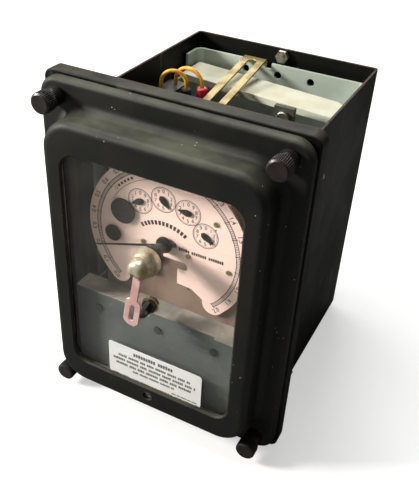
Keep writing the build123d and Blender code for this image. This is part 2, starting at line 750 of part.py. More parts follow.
PIECES = [
    case_shell, case_flange, cover_studs, panel_studs, earth_stud, case_guides,
    terminal_block, contact_base, contact_jaws,
    cover_gasket, cover_frame, cover_screw, window_seal, window_glass, glass_retainer,
    notice_plate, reset_bush, glass_nuts, seal_post, seal_post_washer,
    reset_knob, reset_shaft, hasp_pin, hasp,
    dial_plate, dial_screws, register_frame, demand_pointer,
    cradle_chassis, front_plate, plate_screws, name_plate, cross_bar, slotted_strap,
    meter_frame, rotor, brake_magnet, coil_support, potential_core, potential_coil,
    current_core, current_coils, contact_blades, blade_carrier, interval_motor,
    lead_block, leads, adjuster_screw,
]

for build in PIECES:
    save(build.__name__, build())

for number, (x, z) in enumerate(corners(STUD_X, STUD_Z), start=1):
    save("thumb_nut_" + str(number), thumb_nut(x, z))

for index in range(4):
    save("register_pointer_" + str(index + 1), register_pointer(index))

save("energy_test_disc", test_disc(0, 8.3, -5.5))
save("interval_test_disc", test_disc(1, 5.5, 13.4))
save("boot_black", boot(LEAD_PLACES[0][1], 3.6, 80.5))
save("boot_red", boot(LEAD_PLACES[1][1], 3.9, 81.0))
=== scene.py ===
# %% [markdown]
# # A draw-out demand meter in its steel case
# The object hangs in a switchboard panel: a deep sheet-steel case with a flange, a moulded black
# cover with a window, and a meter on a cradle that slides out. The solid model is already made and
# packed as a frame. This lesson dresses that frame: it keeps the shapes that are right, rebuilds the
# ones that need finer detail, and gives every surface a finish made from shader nodes.

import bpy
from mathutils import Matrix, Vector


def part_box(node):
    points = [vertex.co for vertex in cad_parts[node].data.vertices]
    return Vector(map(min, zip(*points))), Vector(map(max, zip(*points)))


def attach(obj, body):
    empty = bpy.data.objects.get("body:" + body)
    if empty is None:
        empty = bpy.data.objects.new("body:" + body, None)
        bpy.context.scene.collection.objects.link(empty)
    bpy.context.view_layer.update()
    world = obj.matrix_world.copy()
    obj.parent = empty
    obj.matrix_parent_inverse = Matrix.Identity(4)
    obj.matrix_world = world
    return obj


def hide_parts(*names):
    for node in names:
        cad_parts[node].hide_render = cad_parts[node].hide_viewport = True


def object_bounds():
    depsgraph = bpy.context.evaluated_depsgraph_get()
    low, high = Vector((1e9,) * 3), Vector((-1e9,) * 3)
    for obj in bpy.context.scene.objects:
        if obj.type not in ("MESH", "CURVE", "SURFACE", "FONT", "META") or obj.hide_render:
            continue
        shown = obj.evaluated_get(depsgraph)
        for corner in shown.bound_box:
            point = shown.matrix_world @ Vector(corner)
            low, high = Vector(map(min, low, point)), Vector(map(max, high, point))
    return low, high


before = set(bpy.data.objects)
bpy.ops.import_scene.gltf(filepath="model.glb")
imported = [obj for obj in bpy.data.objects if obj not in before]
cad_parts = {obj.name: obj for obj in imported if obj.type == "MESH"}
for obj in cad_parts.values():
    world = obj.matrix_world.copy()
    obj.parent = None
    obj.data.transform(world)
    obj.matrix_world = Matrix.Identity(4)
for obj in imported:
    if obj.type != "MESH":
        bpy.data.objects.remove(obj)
cad_low, cad_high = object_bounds()
print("CAD box from", tuple(round(v, 4) for v in cad_low), "to", tuple(round(v, 4) for v in cad_high))

# %% Modules and units
import math
import random

import bmesh
import bpy
from mathutils import Matrix, Vector

MM = 0.001
random.seed(7)
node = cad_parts
print(len(node), "nodes in the frame")

# %% [markdown]
# ## Places taken from the frame
# Every new piece is placed by the boxes of the solid parts, so that it lands where the solid model
# has it. The knob's bush stands in front of the dial's centre, so the middle of the bush gives the
# axis that the dial, its scale and the knob share.

# %% Measure the frame
def span(name):
    """Lowest and highest corner of a solid part, in millimetres."""
    low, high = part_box(name)
    return low / MM, high / MM


def middle(name):
    """Centre of a solid part's box, in millimetres."""
    low, high = span(name)
    return (low + high) / 2


bush = middle("reset_bush")
AXIS_X, AXIS_Z = round(bush.x, 3), round(bush.z, 3)
DIAL_FRONT = round(span("dial_plate")[0].y, 3)
print("axis at", AXIS_X, AXIS_Z, "dial front at", DIAL_FRONT)

# %% [markdown]
# ## Mesh helpers
# Most of the small metal pieces are turned on a lathe, and the rest are cut from flat stock. So two
# helpers do most of the work: `turned` spins a profile round an axis that points to the front, and
# `Slab` collects flat outlines, each pushed to a thickness and closed on all sides.

# %% Helpers that make pieces
def finish_mesh(name, mesh, material, body, smooth=35.0):
    """Make an object from a mesh, smooth it below an angle, and let it ride on a body."""
    mesh.validate()
    piece = bpy.data.objects.new(name, mesh)
    bpy.context.scene.collection.objects.link(piece)
    mesh.materials.append(material)
    mesh.shade_smooth()
    mesh.set_sharp_from_angle(angle=math.radians(smooth))
    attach(piece, body)
    return piece


def turned(profile, x, z, steps, flute=None):
    """Spin (radius, y) points round the axis through (x, z), in millimetres.

    flute(radius, y, angle) may reshape the radius.
    """
    shape = bmesh.new()
    rings = []
    for radius, y in profile:
        if radius == 0:
            rings.append([shape.verts.new((x * MM, y * MM, z * MM))])
            continue
        ring = []
        for i in range(steps):
            angle = 2 * math.pi * i / steps
            r = flute(radius, y, angle) if flute else radius
            across, up = x + r * math.cos(angle), z + r * math.sin(angle)
            ring.append(shape.verts.new((across * MM, y * MM, up * MM)))
        rings.append(ring)
    for a, b in zip(rings, rings[1:]):
        for i in range(steps):
            j = (i + 1) % steps
            corners = [a[i % len(a)], a[j % len(a)], b[j % len(b)], b[i % len(b)]]
            unique = list(dict.fromkeys(corners))
            if len(unique) > 2:
                shape.faces.new(unique)
    bmesh.ops.recalc_face_normals(shape, faces=shape.faces)
    return shape


def as_mesh(name, shape):
    """Turn a bmesh into a mesh and free it."""
    mesh = bpy.data.meshes.new(name)
    shape.to_mesh(mesh)
    shape.free()
    return mesh


class Slab:
    """Collects flat closed pieces that face the front."""

    def __init__(self, y_front, y_back):
        self.shape = bmesh.new()
        self.front, self.back = y_front * MM, y_back * MM

    def outline(self, points):
        """One closed prism over an outline of (x, z) points, in millimetres."""
        front = [self.shape.verts.new((x * MM, self.front, z * MM)) for x, z in points]
        back = [self.shape.verts.new((x * MM, self.back, z * MM)) for x, z in points]
        self.shape.faces.new(front)
        self.shape.faces.new(list(reversed(back)))
        for i in range(len(points)):
            j = (i + 1) % len(points)
            self.shape.faces.new((front[j], front[i], back[i], back[j]))

    def stroke(self, x0, z0, x1, z1, width):
        """A straight stroke."""
        along = Vector((x1 - x0, z1 - z0)).normalized()
        side = Vector((-along.y, along.x)) * width / 2
        self.outline([(x0 - side.x, z0 - side.y), (x1 - side.x, z1 - side.y),
                      (x1 + side.x, z1 + side.y), (x0 + side.x, z0 + side.y)])

    def arc(self, x, z, radius, start, end, width, steps):
        """Part of a ring, from one angle to another in degrees; a full ring closes on itself."""
        full = abs(end - start) == 360
        inner, outer = radius - width / 2, radius + width / 2
        corners = ((inner, self.front), (outer, self.front), (outer, self.back), (inner, self.back))
        rims = []
        for i in range(steps if full else steps + 1):
            angle = math.radians(start + (end - start) * i / steps)
            rims.append([self.shape.verts.new(((x + r * math.cos(angle)) * MM, y,
                                               (z + r * math.sin(angle)) * MM)) for r, y in corners])
        pairs = list(zip(rims, rims[1:])) + ([(rims[-1], rims[0])] if full else [])
        for a, b in pairs:
            for i in range(4):
                j = (i + 1) % 4
                self.shape.faces.new((a[i], a[j], b[j], b[i]))
        if not full:
            self.shape.faces.new(rims[0])
            self.shape.faces.new(list(reversed(rims[-1])))

    def dot(self, x, z, radius, steps=20):
        """A round dot."""
        angles = [2 * math.pi * i / steps for i in range(steps)]
        self.outline([(x + radius * math.cos(a), z + radius * math.sin(a)) for a in angles])

    def mesh(self, name):
        """The finished mesh, with all faces turned outwards."""
        bmesh.ops.recalc_face_normals(self.shape, faces=self.shape.faces)
        return as_mesh(name, self.shape)


print("mesh helpers ready")

# %% [markdown]
# ## Shader groups
# Old enamel, moulded plastic and worn plate share a few effects: blotches, a fine grain, rubbed
# edges, settled dust, scratches, small chips and brushed marks. The edge effect also gives a painted
# highlight on lit edges, and the dust effect also gives painted light on lit top faces. Each is built
# once as a node group with named inputs and outputs. A group only gives a mask or a height, and each
# material decides what to do with it.

# %% Group helper
def new_group(name, inputs, output):
    """A node group with float inputs and one float output, both named."""
    tree = bpy.data.node_groups.new(name, "ShaderNodeTree")
    for title, value in inputs.items():
        socket = tree.interface.new_socket(name=title, in_out="INPUT", socket_type="NodeSocketFloat")
        socket.default_value = value
    tree.interface.new_socket(name=output, in_out="OUTPUT", socket_type="NodeSocketFloat")
    return tree, tree.nodes.new("NodeGroupInput"), tree.nodes.new("NodeGroupOutput")


def add(tree, kind, **settings):
    """Add a node and set its plain properties."""
    made = tree.nodes.new(kind)
    for key, value in settings.items():
        setattr(made, key, value)
    return made


def maths(tree, operation, a, b):
    """A Math node fed by sockets or numbers; returns its output."""
    made = add(tree, "ShaderNodeMath", operation=operation)
    for i, value in enumerate((a, b)):
        if isinstance(value, (int, float)):
            made.inputs[i].default_value = value
        else:
            tree.links.new(value, made.inputs[i])
    return made.outputs[0]


def noise(tree, scale, stretch=(1, 1, 1), turn=(0, 0, 0), detail=3.0):
    """Noise in the part's own coordinates, in metres.

    stretch and turn, in degrees, give it a direction.
    """
    place = add(tree, "ShaderNodeTexCoord")
    mapping = add(tree, "ShaderNodeMapping")
    mapping.inputs["Scale"].default_value = stretch
    mapping.inputs["Rotation"].default_value = [math.radians(a) for a in turn]
    tree.links.new(place.outputs["Object"], mapping.inputs["Vector"])
    made = add(tree, "ShaderNodeTexNoise")
    made.inputs["Detail"].default_value = detail
    made.inputs["Roughness"].default_value = 0.55
    tree.links.new(mapping.outputs[0], made.inputs["Vector"])
    if isinstance(scale, (int, float)):
        made.inputs["Scale"].default_value = scale
    else:
        tree.links.new(scale, made.inputs["Scale"])
    return made.outputs["Fac"]


def ramp(tree, value, low, high):
    """Turns a value into a mask that is 0 below low and 1 above high."""
    made = add(tree, "ShaderNodeMapRange", interpolation_type="SMOOTHSTEP")
    tree.links.new(value, made.inputs["Value"])
    made.inputs["From Min"].default_value = low
    made.inputs["From Max"].default_value = high
    return made.outputs["Result"]


print("node helpers ready")

# %% Blotches and grain
def build_blotches():
    """Soft uneven patches, as of age and handling."""
    tree, given, result = new_group("Blotches", {"Scale": 30.0, "Amount": 1.0}, "Mask")
    patches = ramp(tree, noise(tree, given.outputs["Scale"]), 0.38, 0.68)
    tree.links.new(maths(tree, "MULTIPLY", patches, given.outputs["Amount"]), result.inputs["Mask"])
    return tree


def build_grain():
    """Fine height for paint, plastic and paper."""
    tree, given, result = new_group("Grain", {"Scale": 900.0}, "Height")
    tree.links.new(noise(tree, given.outputs["Scale"], detail=2.0), result.inputs["Height"])
    return tree


GROUPS = {"Blotches": build_blotches(), "Grain": build_grain()}
print("groups:", sorted(GROUPS))

# %% Edge wear and painted edge highlight
def build_rubbed_edges():
    """Outer edges, found by comparing the true normal with a rounded one, broken up by noise."""
    tree, given, result = new_group(
        "Edge wear and highlight", {"Radius": 0.0008, "Breakup": 120.0, "Amount": 1.0}, "Mask")
    rounded = add(tree, "ShaderNodeBevel", samples=4)
    tree.links.new(given.outputs["Radius"], rounded.inputs["Radius"])
    true = add(tree, "ShaderNodeNewGeometry")
    dot = add(tree, "ShaderNodeVectorMath", operation="DOT_PRODUCT")
    tree.links.new(rounded.outputs["Normal"], dot.inputs[0])
    tree.links.new(true.outputs["Normal"], dot.inputs[1])
    edge = ramp(tree, maths(tree, "SUBTRACT", 1.0, dot.outputs["Value"]), 0.02, 0.22)
    broken = ramp(tree, noise(tree, given.outputs["Breakup"]), 0.36, 0.62)
    both = maths(tree, "MULTIPLY", edge, broken)
    tree.links.new(maths(tree, "MULTIPLY", both, given.outputs["Amount"]), result.inputs["Mask"])
    return tree


GROUPS["Edge wear and highlight"] = build_rubbed_edges()
print("groups:", sorted(GROUPS))

# %% Settled dust and painted top light
def build_dust():
    """Dust on faces that look up, patchy; on some finishes it is also painted light on lit top faces.
    """
    tree, given, result = new_group("Top light and dust", {"Scale": 60.0, "Amount": 0.5}, "Mask")
    true = add(tree, "ShaderNodeNewGeometry")
    split = add(tree, "ShaderNodeSeparateXYZ")
    tree.links.new(true.outputs["Normal"], split.inputs[0])
    up = ramp(tree, split.outputs["Z"], 0.25, 0.95)
    patchy = ramp(tree, noise(tree, given.outputs["Scale"], detail=5.0), 0.25, 0.75)
    both = maths(tree, "MULTIPLY", up, patchy)
    tree.links.new(maths(tree, "MULTIPLY", both, given.outputs["Amount"]), result.inputs["Mask"])
    return tree


GROUPS["Top light and dust"] = build_dust()
print("groups:", sorted(GROUPS))

# %% Scratches and chips
def build_scratches():
    """Thin slanted scratches: noise stretched along one direction, cut to its crests."""
    tree, given, result = new_group("Scratches", {"Scale": 40.0, "Amount": 0.5}, "Mask")
    slanted = noise(tree, given.outputs["Scale"], stretch=(1, 7, 0.35), turn=(38, 0, 0), detail=2.0)
    lines = ramp(tree, slanted, 0.66, 0.72)
    some = ramp(tree, noise(tree, 14.0), 0.5, 0.62)
    both = maths(tree, "MULTIPLY", lines, some)
    tree.links.new(maths(tree, "MULTIPLY", both, given.outputs["Amount"]), result.inputs["Mask"])
    return tree


def build_chips():
    """Small scattered specks where the finish has chipped."""
    tree, given, result = new_group("Chips", {"Scale": 160.0, "Size": 0.1, "Amount": 1.0}, "Mask")
    place = add(tree, "ShaderNodeTexCoord")
    cells = add(tree, "ShaderNodeTexVoronoi")
    tree.links.new(place.outputs["Object"], cells.inputs["Vector"])
    tree.links.new(given.outputs["Scale"], cells.inputs["Scale"])
    near = maths(tree, "LESS_THAN", cells.outputs["Distance"], given.outputs["Size"])
    rare = ramp(tree, noise(tree, 55.0), 0.58, 0.62)
    both = maths(tree, "MULTIPLY", near, rare)
    tree.links.new(maths(tree, "MULTIPLY", both, given.outputs["Amount"]), result.inputs["Mask"])
    return tree


GROUPS["Scratches"] = build_scratches()
GROUPS["Chips"] = build_chips()
print("groups:", sorted(GROUPS))

# %% Brushed marks
def build_brushed():
    """Fine parallel marks along one axis, for plated and drawn metal."""
    tree, given, result = new_group("Brushed", {"Scale": 700.0, "Amount": 1.0}, "Mask")
    lines = noise(tree, given.outputs["Scale"], stretch=(0.06, 1, 1), detail=2.0)
    tree.links.new(maths(tree, "MULTIPLY", lines, given.outputs["Amount"]), result.inputs["Mask"])
    return tree


GROUPS["Brushed"] = build_brushed()
print("groups:", sorted(GROUPS))

# %% [markdown]
# ## Building a finish
# A finish starts from a base colour and a roughness. Layers go on top of it in order, as they do on
# the real thing: each layer is one of the groups, with its own colour and roughness where its mask is.
# What is the same all over, such as metalness, is set on the shader itself.

# %% Layered finish
def tone(red, green, blue):
    """A display colour from 0 to 255 as scene-linear light, by the sRGB curve."""
    linear = []
    for value in (red, green, blue):
        v = value / 255
        linear.append(v / 12.92 if v <= 0.04045 else ((v + 0.055) / 1.055) ** 2.4)
    return (*linear, 1.0)


def effect(tree, name, settings):
    """Place one of the groups in a material, with its settings; returns its output."""
    group = add(tree, "ShaderNodeGroup", node_tree=GROUPS[name])
    for key, value in settings.items():
        group.inputs[key].default_value = value
    return group.outputs[0]


def coat_of(group, colour, rough, **settings):
    """One layer of a finish."""
    return {"group": group, "colour": colour, "rough": rough, "set": settings}


# A Mix node keeps a set of sockets for each kind of value, so they are told apart by number.
COLOUR_BELOW, COLOUR_ABOVE, COLOUR_RESULT = 6, 7, 2
FLOAT_BELOW, FLOAT_ABOVE, FLOAT_RESULT = 2, 3, 0


def laid_over(tree, kind, mask, below, above, sockets):
    """A Mix node that shows the layer above where the mask is 1; below is a value or a socket."""
    low, high, result = sockets
    mix = add(tree, "ShaderNodeMix", data_type=kind)
    tree.links.new(mask, mix.inputs["Factor"])
    mix.inputs[high].default_value = above
    if isinstance(below, bpy.types.NodeSocket):
        tree.links.new(below, mix.inputs[low])
    else:
        mix.inputs[low].default_value = below
    return mix.outputs[result]


GRAIN_STRENGTH = 0.6


def finish(name, colour, roughness, layers, grain=None, metallic=0.0, specular=0.5, coat=0.0):
    """A material from a base and one or more layers; grain is (group, settings, depth in metres)."""
    made = bpy.data.materials.new(name)
    made.use_nodes = True
    tree = made.node_tree
    shader = tree.nodes["Principled BSDF"]
    shader.inputs["Base Color"].default_value = colour
    shader.inputs["Roughness"].default_value = roughness
    shader.inputs["Metallic"].default_value = metallic
    shader.inputs["Specular IOR Level"].default_value = specular
    shader.inputs["Coat Weight"].default_value = coat
    shown, rough = colour, roughness
    for layer in layers:
        mask = effect(tree, layer["group"], layer["set"])
        shown = laid_over(tree, "RGBA", mask, shown, layer["colour"],
                          (COLOUR_BELOW, COLOUR_ABOVE, COLOUR_RESULT))
        rough = laid_over(tree, "FLOAT", mask, rough, layer["rough"],
                          (FLOAT_BELOW, FLOAT_ABOVE, FLOAT_RESULT))
    tree.links.new(shown, shader.inputs["Base Color"])
    tree.links.new(rough, shader.inputs["Roughness"])
    if grain:
        group, settings, depth = grain
        bump = add(tree, "ShaderNodeBump")
        bump.inputs["Distance"].default_value = depth
        bump.inputs["Strength"].default_value = GRAIN_STRENGTH
        tree.links.new(effect(tree, group, settings), bump.inputs["Height"])
        tree.links.new(bump.outputs[0], shader.inputs["Normal"])
    return made


print("finish builder ready")

# %% [markdown]
# ## Black finishes
# The case is sheet steel under black enamel, which has rubbed through to rust along its cut edges and
# picked up long scratches on its sides. The cover is moulded: duller, dusty on top, with pale chips;
# its paler tops are partly painted light, and its pale edges are a painted highlight.

# %% Black finishes
RUST = tone(104, 70, 50)
DUST = tone(122, 116, 98)
case_enamel = finish(
    "Housing enamel", tone(7, 8, 6), 0.45,
    [coat_of("Blotches", tone(13, 13, 10), 0.55, Scale=22.0),
     coat_of("Top light and dust", DUST, 0.8, Scale=50.0, Amount=0.25),
     coat_of("Scratches", tone(125, 122, 112), 0.5, Scale=34.0, Amount=0.6),
     coat_of("Edge wear and highlight", RUST, 0.7, Radius=0.0011, Amount=1.0)],
    ("Grain", {"Scale": 700.0}, 0.0002), specular=0.13)
cover_moulding = finish(
    "Cover moulding", tone(13, 14, 11), 0.5,
    [coat_of("Blotches", tone(24, 24, 20), 0.58, Scale=28.0),
     # On the cover this layer is partly dust and partly painted light that makes the lit top faces
     # paler.
     coat_of("Top light and dust", tone(112, 112, 92), 0.8, Scale=34.0, Amount=0.4),
     # On the cover this pale edge layer is a painted highlight along its lit edges and the window's
     # chamfer.
     coat_of("Edge wear and highlight", tone(120, 116, 104), 0.45, Radius=0.0012, Breakup=90.0, Amount=0.45),
     coat_of("Chips", tone(190, 185, 175), 0.7, Scale=300.0, Size=0.1, Amount=0.8)],
    ("Grain", {"Scale": 1100.0}, 0.00015), specular=0.3)
moulded_black = finish(
    "Small black mouldings", tone(26, 25, 24), 0.35,
    [coat_of("Blotches", tone(40, 37, 33), 0.5, Scale=90.0),
     coat_of("Edge wear and highlight", tone(84, 76, 66), 0.5, Radius=0.0004, Breakup=300.0, Amount=0.5)],
    ("Grain", {"Scale": 1500.0}, 0.0001))
nut_brown = finish(
    "Thumb nut moulding", tone(11, 10, 9), 0.36,
    [coat_of("Blotches", tone(32, 17, 14), 0.45, Scale=120.0),
     coat_of("Edge wear and highlight", tone(98, 84, 74), 0.5, Radius=0.0004, Breakup=260.0, Amount=0.6)],
    ("Grain", {"Scale": 1600.0}, 0.0001))
pointer_black = finish(
    "Pointer black", tone(11, 10, 10), 0.5,
    [coat_of("Blotches", tone(30, 26, 24), 0.6, Scale=300.0)],
    ("Grain", {"Scale": 2500.0}, 0.00005))
rubber = finish(
    "Black rubber", tone(24, 24, 24), 0.72,
    [coat_of("Blotches", tone(44, 43, 40), 0.8, Scale=150.0),
     coat_of("Top light and dust", DUST, 0.9, Scale=150.0, Amount=0.3)],
    ("Grain", {"Scale": 1300.0}, 0.0002))
print("finishes so far:", [made.name for made in bpy.data.materials])

# %% [markdown]
# ## Enamels, board and paper
# The cradle is light blue-grey enamel, the front plate is slate grey, and the bar across the top is
# cream board. The dial is lacquered metal that has gone slightly pink and mottled.

# %% Light finishes
cradle_enamel = finish(
    "Cradle enamel", tone(176, 186, 174), 0.42,
    [coat_of("Blotches", tone(156, 167, 154), 0.52, Scale=30.0),
     coat_of("Top light and dust", tone(150, 142, 120), 0.85, Scale=60.0, Amount=0.4),
     coat_of("Edge wear and highlight", tone(196, 200, 192), 0.4, Radius=0.0006, Amount=0.7)],
    ("Grain", {"Scale": 800.0}, 0.00015))
slate_enamel = finish(
    "Front plate enamel", tone(74, 79, 77), 0.5,
    [coat_of("Blotches", tone(62, 67, 65), 0.6, Scale=34.0),
     # On the front plate this pale warm layer is mostly painted light that makes the lit top ledge
     # paler, with some dust.
     coat_of("Top light and dust", tone(196, 180, 164), 0.8, Scale=30.0, Amount=0.8),
     coat_of("Chips", tone(190, 190, 184), 0.6, Scale=240.0, Size=0.12, Amount=0.9),
     coat_of("Edge wear and highlight", tone(160, 164, 160), 0.4, Radius=0.0005, Amount=0.7)],
    ("Grain", {"Scale": 900.0}, 0.00015))
dial_lacquer = finish(
    "Dial lacquer", tone(232, 200, 188), 0.45,
    [coat_of("Blotches", tone(228, 190, 178), 0.5, Scale=34.0, Amount=0.7),
     coat_of("Brushed", tone(246, 230, 224), 0.36, Scale=900.0, Amount=0.35),
     coat_of("Edge wear and highlight", tone(176, 150, 138), 0.5, Radius=0.0004, Amount=0.6)],
    ("Brushed", {"Scale": 1200.0}, 0.00004), coat=0.15)
# The name plate's colours are darker than its own pink-brown, to paint the shade it lies in behind the
# dial.
shade_darkened_plate_finish = finish(
    "Shaded name plate", tone(120, 99, 86), 0.5,
    [coat_of("Blotches", tone(100, 80, 68), 0.6, Scale=60.0),
     coat_of("Brushed", tone(136, 116, 102), 0.45, Scale=900.0, Amount=0.4)],
    ("Brushed", {"Scale": 1200.0}, 0.00004))
cream_board = finish(
    "Cream board", tone(196, 198, 180), 0.6,
    [coat_of("Blotches", tone(182, 180, 158), 0.7, Scale=40.0),
     coat_of("Top light and dust", tone(170, 156, 122), 0.9, Scale=45.0, Amount=0.3),
     coat_of("Edge wear and highlight", tone(170, 172, 150), 0.7, Radius=0.0008, Amount=0.6)],
    ("Grain", {"Scale": 600.0}, 0.0002))
paper_white = finish(
    "Notice paper", tone(240, 240, 238), 0.62,
    [coat_of("Blotches", tone(228, 228, 222), 0.7, Scale=45.0)],
    ("Grain", {"Scale": 1800.0}, 0.00006))
paper_torn = finish(
    "Torn paper edge", tone(160, 140, 116), 0.85,
    [coat_of("Blotches", tone(122, 98, 78), 0.9, Scale=260.0)],
    ("Grain", {"Scale": 1500.0}, 0.0002))
ink = finish(
    "Printed ink", tone(24, 20, 20), 0.6,
    [coat_of("Blotches", tone(56, 46, 44), 0.65, Scale=420.0)],
    ("Grain", {"Scale": 2000.0}, 0.00003))
grey_ink = finish(
    "Grey print", tone(70, 68, 66), 0.7,
    [coat_of("Blotches", tone(112, 110, 106), 0.7, Scale=500.0)],
    ("Grain", {"Scale": 2000.0}, 0.00003))
print("finishes so far:", len(bpy.data.materials))

# %% [markdown]
# ## Metals
# Nickel plate over brass wears through where fingers turn the knob, copper plate on the hasp stays
# pink, and inside there are plain brass, plated steel and aluminium parts.

# %% Metals
worn_nickel = finish(
    "Worn nickel", tone(214, 206, 184), 0.34,
    [coat_of("Blotches", tone(160, 142, 108), 0.44, Scale=150.0),
     coat_of("Scratches", tone(226, 220, 200), 0.25, Scale=160.0, Amount=0.6),
     coat_of("Edge wear and highlight", tone(176, 138, 84), 0.3, Radius=0.0008, Breakup=200.0, Amount=0.8)],
    ("Brushed", {"Scale": 1500.0}, 0.00003), metallic=0.7)
dull_brass = finish(
    "Dull brass", tone(176, 158, 112), 0.4,
    [coat_of("Blotches", tone(122, 102, 66), 0.52, Scale=120.0),
     coat_of("Brushed", tone(200, 184, 140), 0.32, Scale=900.0, Amount=0.5)],
    ("Brushed", {"Scale": 1200.0}, 0.00004), metallic=1.0)
copper_plate = finish(
    "Copper plate", tone(240, 200, 196), 0.38,
    [coat_of("Blotches", tone(222, 172, 168), 0.48, Scale=140.0),
     coat_of("Edge wear and highlight", tone(250, 232, 228), 0.25, Radius=0.0003, Breakup=400.0, Amount=0.7)],
    ("Brushed", {"Scale": 1500.0}, 0.00003), metallic=0.35)
plated_steel = finish(
    "Plated steel", tone(186, 184, 174), 0.32,
    [coat_of("Blotches", tone(138, 132, 116), 0.5, Scale=130.0),
     coat_of("Brushed", tone(206, 204, 196), 0.28, Scale=800.0, Amount=0.5)],
    ("Brushed", {"Scale": 1200.0}, 0.00004), metallic=1.0)
bare_aluminium = finish(
    "Bare aluminium", tone(190, 192, 192), 0.4,
    [coat_of("Blotches", tone(156, 158, 156), 0.5, Scale=50.0),
     coat_of("Brushed", tone(206, 208, 208), 0.34, Scale=700.0, Amount=0.5)],
    ("Brushed", {"Scale": 900.0}, 0.00006), metallic=1.0)
dark_casting = finish(
    "Dark casting", tone(46, 46, 42), 0.6,
    [coat_of("Blotches", tone(62, 60, 54), 0.7, Scale=60.0),
     coat_of("Edge wear and highlight", tone(96, 94, 86), 0.5, Radius=0.0006, Amount=0.6)],
    ("Grain", {"Scale": 420.0}, 0.0004))
magnet_alloy = finish(
    "Magnet alloy", tone(92, 88, 84), 0.6,
    [coat_of("Blotches", tone(66, 60, 56), 0.75, Scale=80.0)],
    ("Grain", {"Scale": 500.0}, 0.0004), metallic=0.6)
core_steel = finish(
    "Core sheets", tone(104, 100, 94), 0.55,
    [coat_of("Brushed", tone(60, 56, 50), 0.6, Scale=2200.0, Amount=0.9)],
    ("Brushed", {"Scale": 2200.0}, 0.0002), metallic=0.7)
print("finishes so far:", len(bpy.data.materials))

# %% Cloth tape, leads and boots
coil_tape = finish(
    "Varnished tape", tone(112, 92, 54), 0.5,
    [coat_of("Brushed", tone(76, 60, 34), 0.55, Scale=420.0, Amount=0.9),
     coat_of("Blotches", tone(88, 68, 40), 0.6, Scale=70.0)],
    ("Brushed", {"Scale": 420.0}, 0.0003))
yellow_cover = finish(
    "Yellow lead cover", tone(226, 168, 38), 0.42,
    [coat_of("Blotches", tone(190, 128, 26), 0.5, Scale=160.0)],
    ("Grain", {"Scale": 1200.0}, 0.0001))
red_cap = finish(
    "Red cap", tone(196, 34, 52), 0.36,
    [coat_of("Blotches", tone(150, 20, 34), 0.5, Scale=180.0),
     coat_of("Top light and dust", tone(200, 150, 140), 0.8, Scale=200.0, Amount=0.3)],
    ("Grain", {"Scale": 1200.0}, 0.0001))
print("tape, lead and cap finishes ready")

# %% [markdown]
# ## Window glass
# The pane is clear, with a little dust on it. Real lamps light the dial through the glass, but a
# renderer has trouble finding that path, so shadow rays are let straight through: the Light Path node
# swaps the glass for a transparent shader when a ray is only looking for a lamp.

# %% Window glass
THINNEST_FILM = 0.004


def build_glass():
    """Clear glass with smears of dust that lets lamps through."""
    made = bpy.data.materials.new("Window glass")
    made.use_nodes = True
    tree = made.node_tree
    glass = tree.nodes["Principled BSDF"]
    glass.inputs["Base Color"].default_value = (0.97, 0.985, 0.97, 1)
    glass.inputs["Transmission Weight"].default_value = 1.0
    glass.inputs["Roughness"].default_value = 0.0
    glass.inputs["IOR"].default_value = 1.3
    film = add(tree, "ShaderNodeBsdfDiffuse")
    film.inputs["Color"].default_value = tone(196, 190, 176)
    smear = effect(tree, "Blotches", {"Scale": 38.0, "Amount": 0.012})
    share = maths(tree, "ADD", smear, THINNEST_FILM)
    dusty = add(tree, "ShaderNodeMixShader")
    tree.links.new(share, dusty.inputs[0])
    tree.links.new(glass.outputs[0], dusty.inputs[1])
    tree.links.new(film.outputs[0], dusty.inputs[2])
    clear = add(tree, "ShaderNodeBsdfTransparent")
    rays = add(tree, "ShaderNodeLightPath")
    either = add(tree, "ShaderNodeMixShader")
    tree.links.new(rays.outputs["Is Shadow Ray"], either.inputs[0])
    tree.links.new(dusty.outputs[0], either.inputs[1])
    tree.links.new(clear.outputs[0], either.inputs[2])
    tree.links.new(either.outputs[0], tree.nodes["Material Output"].inputs["Surface"])
    return made


window_glass = build_glass()
print("glass:", window_glass.name)

# %% [markdown]
# ## Finishes on the solid parts
# Solid parts whose shape is right stay as they are. Sheet and cast parts get a small bevel modifier,
# because a real edge is never quite sharp and the light catches it.

# %% Dress the solid parts
DRESS = {
    case_enamel: ["case_shell", "case_flange", "case_guides"],
    cover_moulding: ["cover_frame"],
    rubber: ["cover_gasket", "window_seal", "boot_black"],
    red_cap: ["boot_red"],
    yellow_cover: ["leads"],
    moulded_black: ["terminal_block", "contact_base", "blade_carrier", "lead_block", "seal_post",
                    "plate_screws"],
    nut_brown: ["thumb_nut_1", "thumb_nut_2", "thumb_nut_3", "thumb_nut_4"],
    pointer_black: ["demand_pointer", "register_pointer_1", "register_pointer_2", "register_pointer_3",
                    "register_pointer_4", "energy_test_disc", "interval_test_disc"],
    window_glass: ["window_glass"],
    paper_white: ["notice_plate"],
    worn_nickel: ["reset_knob", "reset_bush"],
    dark_casting: ["meter_frame", "glass_nuts", "reset_shaft"],
    copper_plate: ["hasp"],
    dial_lacquer: ["dial_plate"],
    shade_darkened_plate_finish: ["name_plate"],
    cradle_enamel: ["cradle_chassis"],
    slate_enamel: ["front_plate"],
    cream_board: ["cross_bar"],
    dull_brass: ["seal_post_washer", "dial_screws", "register_frame", "slotted_strap", "contact_jaws",
                 "contact_blades"],
    plated_steel: ["cover_studs", "panel_studs", "earth_stud", "cover_screw", "glass_retainer",
                   "hasp_pin", "adjuster_screw", "interval_motor", "coil_support"],
    bare_aluminium: ["rotor"],
    magnet_alloy: ["brake_magnet"],
    core_steel: ["potential_core", "current_core"],
    coil_tape: ["potential_coil", "current_coils"],
}
for material, names in DRESS.items():
    for name in names:
        node[name].data.materials.clear()
        node[name].data.materials.append(material)
undressed = set(node) - {name for names in DRESS.values() for name in names}
print("dressed", len(node) - len(undressed), "parts, left", sorted(undressed))

